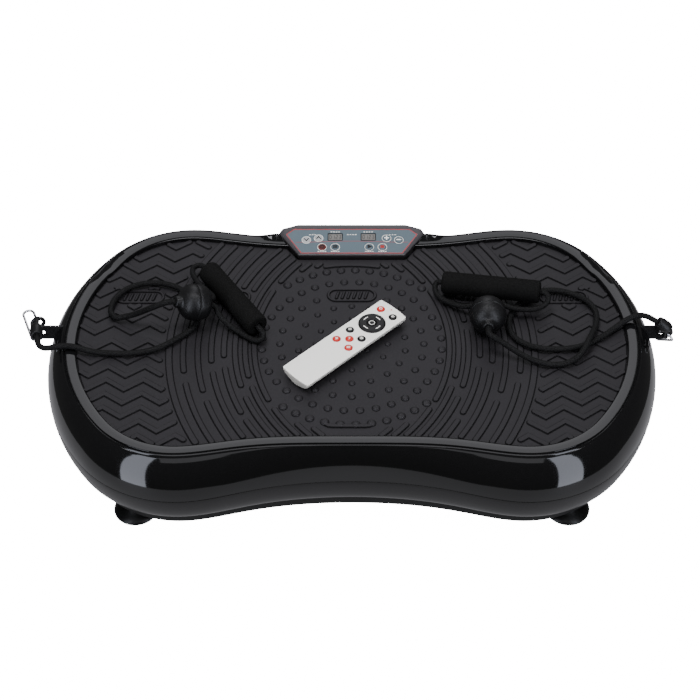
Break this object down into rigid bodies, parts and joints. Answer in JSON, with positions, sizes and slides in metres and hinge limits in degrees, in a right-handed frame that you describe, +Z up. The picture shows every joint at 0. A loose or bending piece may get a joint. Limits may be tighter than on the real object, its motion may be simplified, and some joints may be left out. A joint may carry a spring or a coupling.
{
  "type": "vibration plate",
  "caption": "Curved-waist vibration plate with a rocking rubber-topped platform, suction feet, sloped console, resistance bands with foam grips and a remote control.",
  "frame": {"origin": "on the floor, under the middle of the plate", "axes": "+X to the user's right along the plate, +Y to the back where the console is, +Z up"},
  "size_m": [0.7192, 0.387, 0.1606],
  "materials": {
    "gloss_black": "high gloss",
    "satin_black": "satin",
    "matte_black": "matt",
    "mat_rubber": "matt, moulded relief",
    "foot_rubber": "satin",
    "panel_blue": "satin film",
    "display_glass": "clear window over grey segments",
    "key_grey": "satin",
    "key_red": "satin",
    "key_black": "satin",
    "remote_white": "satin",
    "cord_fabric": "matt",
    "foam": "open foam",
    "ball_rubber": "satin",
    "webbing": "woven",
    "chrome": "polished",
    "steel": "machined",
    "painted_steel": "semi-gloss",
    "motor_paint": "semi-gloss",
    "belt_rubber": "matt",
    "board_green": "solder resist"
  },
  "bodies": {
    "base": {"base_tray": "matte_black", "foot_front_left": "foot_rubber", "foot_front_right": "foot_rubber", "foot_back_left": "foot_rubber", "foot_back_right": "foot_rubber", "motor": "motor_paint", "drive_belt": "belt_rubber", "bearing_bracket": "steel", "pivot_bracket": "steel", "buffer_front_left": "foot_rubber", "buffer_front_right": "foot_rubber", "buffer_back_left": "foot_rubber", "buffer_back_right": "foot_rubber", "control_board": "board_green", "power_inlet": "satin_black"},
    "platform": {"top_shell": "gloss_black", "lower_shell": "satin_black", "deck_frame": "painted_steel", "standing_mat": "mat_rubber", "console_panel": "panel_blue", "display_board": "display_glass", "strap_tab_left": "webbing", "strap_tab_right": "webbing", "carabiner_left": "chrome", "cord_sleeve_left": "ball_rubber", "band_cord_left": "cord_fabric", "ball_stopper_left": "ball_rubber", "foam_grip_left": "foam", "handle_loop_left": "cord_fabric", "carabiner_right": "chrome", "cord_sleeve_right": "ball_rubber", "band_cord_right": "cord_fabric", "ball_stopper_right": "ball_rubber", "foam_grip_right": "foam", "handle_loop_right": "cord_fabric"},
    "motor_rotor": {"motor_pulley": "steel"},
    "eccentric": {"eccentric_shaft": "steel", "driven_pulley": "steel"},
    "rod": {"connecting_rod": "steel"},
    "switch_rocker": {"power_switch": "matte_black"},
    "gate_left": {"carabiner_gate_left": "chrome"},
    "gate_right": {"carabiner_gate_right": "chrome"},
    "remote": {"remote_shell": "remote_white"},
    "timer_down_button": {"timer_down_key": "key_grey"},
    "timer_up_button": {"timer_up_key": "key_grey"},
    "speed_up_button": {"speed_up_key": "key_grey"},
    "speed_down_button": {"speed_down_key": "key_grey"},
    "power_button": {"power_key": "key_red"},
    "program_button": {"program_key": "key_grey"},
    "start_button": {"start_key": "key_grey"},
    "stop_button": {"stop_key": "key_red"},
    "remote_power_button": {"remote_power_key": "key_red"},
    "remote_mute_button": {"remote_mute_key": "key_black"},
    "remote_mode_button": {"remote_mode_key": "key_black"},
    "remote_time_button": {"remote_time_key": "key_black"},
    "remote_walk_button": {"remote_walk_key": "key_red"},
    "remote_jog_button": {"remote_jog_key": "key_red"},
    "remote_run_button": {"remote_run_key": "key_red"},
    "remote_ok_button": {"remote_ok_key": "key_black"},
    "remote_nav_button": {"remote_nav_ring": "key_black"}
  },
  "joints": [
    {"name": "platform_rock", "type": "hinge", "parent": "base", "child": "platform", "pos_m": [0, 0, 0.06], "axis": [0, 1, 0], "range_deg": [-1, 1], "stiffness_Nm_per_rad": 400},
    {"name": "eccentric_spin", "type": "hinge", "parent": "base", "child": "eccentric", "pos_m": [0.23, 0, 0.045], "axis": [0, 1, 0], "continuous": true},
    {"name": "motor_spin", "type": "hinge", "parent": "base", "child": "motor_rotor", "pos_m": [0.14, 0.05, 0.045], "axis": [0, 1, 0], "continuous": true},
    {"name": "rod_swing", "type": "hinge", "parent": "platform", "child": "rod", "pos_m": [0.23, 0, 0.076], "axis": [0, 1, 0], "range_deg": [-1.5, 1.5]},
    {"name": "power_switch_rock", "type": "hinge", "parent": "base", "child": "switch_rocker", "pos_m": [0.016, 0.1505, 0.023], "axis": [0, 0, 1], "range_deg": [-9, 9]},
    {"name": "timer_down_press", "type": "slide", "parent": "platform", "child": "timer_down_button", "axis": [0, 0.1392, -0.9903], "range_m": [0, 0.0006], "stiffness_N_per_m": 300},
    {"name": "timer_up_press", "type": "slide", "parent": "platform", "child": "timer_up_button", "axis": [0, 0.1392, -0.9903], "range_m": [0, 0.0006], "stiffness_N_per_m": 300},
    {"name": "speed_up_press", "type": "slide", "parent": "platform", "child": "speed_up_button", "axis": [0, 0.1392, -0.9903], "range_m": [0, 0.0006], "stiffness_N_per_m": 300},
    {"name": "speed_down_press", "type": "slide", "parent": "platform", "child": "speed_down_button", "axis": [0, 0.1392, -0.9903], "range_m": [0, 0.0006], "stiffness_N_per_m": 300},
    {"name": "power_press", "type": "slide", "parent": "platform", "child": "power_button", "axis": [0, 0.1392, -0.9903], "range_m": [0, 0.0006], "stiffness_N_per_m": 300},
    {"name": "program_press", "type": "slide", "parent": "platform", "child": "program_button", "axis": [0, 0.1392, -0.9903], "range_m": [0, 0.0006], "stiffness_N_per_m": 300},
    {"name": "start_press", "type": "slide", "parent": "platform", "child": "start_button", "axis": [0, 0.1392, -0.9903], "range_m": [0, 0.0006], "stiffness_N_per_m": 300},
    {"name": "stop_press", "type": "slide", "parent": "platform", "child": "stop_button", "axis": [0, 0.1392, -0.9903], "range_m": [0, 0.0006], "stiffness_N_per_m": 300},
    {"name": "remote_power_press", "type": "slide", "parent": "remote", "child": "remote_power_button", "axis": [0, 0, -1], "range_m": [0, 0.0009], "stiffness_N_per_m": 300},
    {"name": "remote_mute_press", "type": "slide", "parent": "remote", "child": "remote_mute_button", "axis": [0, 0, -1], "range_m": [0, 0.0009], "stiffness_N_per_m": 300},
    {"name": "remote_mode_press", "type": "slide", "parent": "remote", "child": "remote_mode_button", "axis": [0, 0, -1], "range_m": [0, 0.0009], "stiffness_N_per_m": 300},
    {"name": "remote_time_press", "type": "slide", "parent": "remote", "child": "remote_time_button", "axis": [0, 0, -1], "range_m": [0, 0.0009], "stiffness_N_per_m": 300},
    {"name": "remote_walk_press", "type": "slide", "parent": "remote", "child": "remote_walk_button", "axis": [0, 0, -1], "range_m": [0, 0.0009], "stiffness_N_per_m": 300},
    {"name": "remote_jog_press", "type": "slide", "parent": "remote", "child": "remote_jog_button", "axis": [0, 0, -1], "range_m": [0, 0.0009], "stiffness_N_per_m": 300},
    {"name": "remote_run_press", "type": "slide", "parent": "remote", "child": "remote_run_button", "axis": [0, 0, -1], "range_m": [0, 0.0009], "stiffness_N_per_m": 300},
    {"name": "remote_ok_press", "type": "slide", "parent": "remote", "child": "remote_ok_button", "axis": [0, 0, -1], "range_m": [0, 0.0009], "stiffness_N_per_m": 300},
    {"name": "remote_nav_press", "type": "slide", "parent": "remote", "child": "remote_nav_button", "axis": [0, 0, -1], "range_m": [0, 0.0007], "stiffness_N_per_m": 300},
    {"name": "remote_lift", "type": "slide", "parent": "platform", "child": "remote", "axis": [0, 0, 1], "range_m": [0, 0.3]},
    {"name": "gate_left_open", "type": "hinge", "parent": "platform", "child": "gate_left", "pos_m": [-0.353, 0.04723, 0.102], "axis": [0, 0, -1], "range_deg": [0, 20], "stiffness_Nm_per_rad": 0.05},
    {"name": "gate_right_open", "type": "hinge", "parent": "platform", "child": "gate_right", "pos_m": [0.33542, 0.03927, 0.08133], "axis": [0.723, 0.5764, 0.3807], "range_deg": [0, 20], "stiffness_Nm_per_rad": 0.05}
  ],
  "couplings": [
    {"joint": "motor_spin", "follows": "eccentric_spin", "ratio": 2},
    {"joint": "rod_swing", "follows": "platform_rock", "ratio": -1}
  ]
}
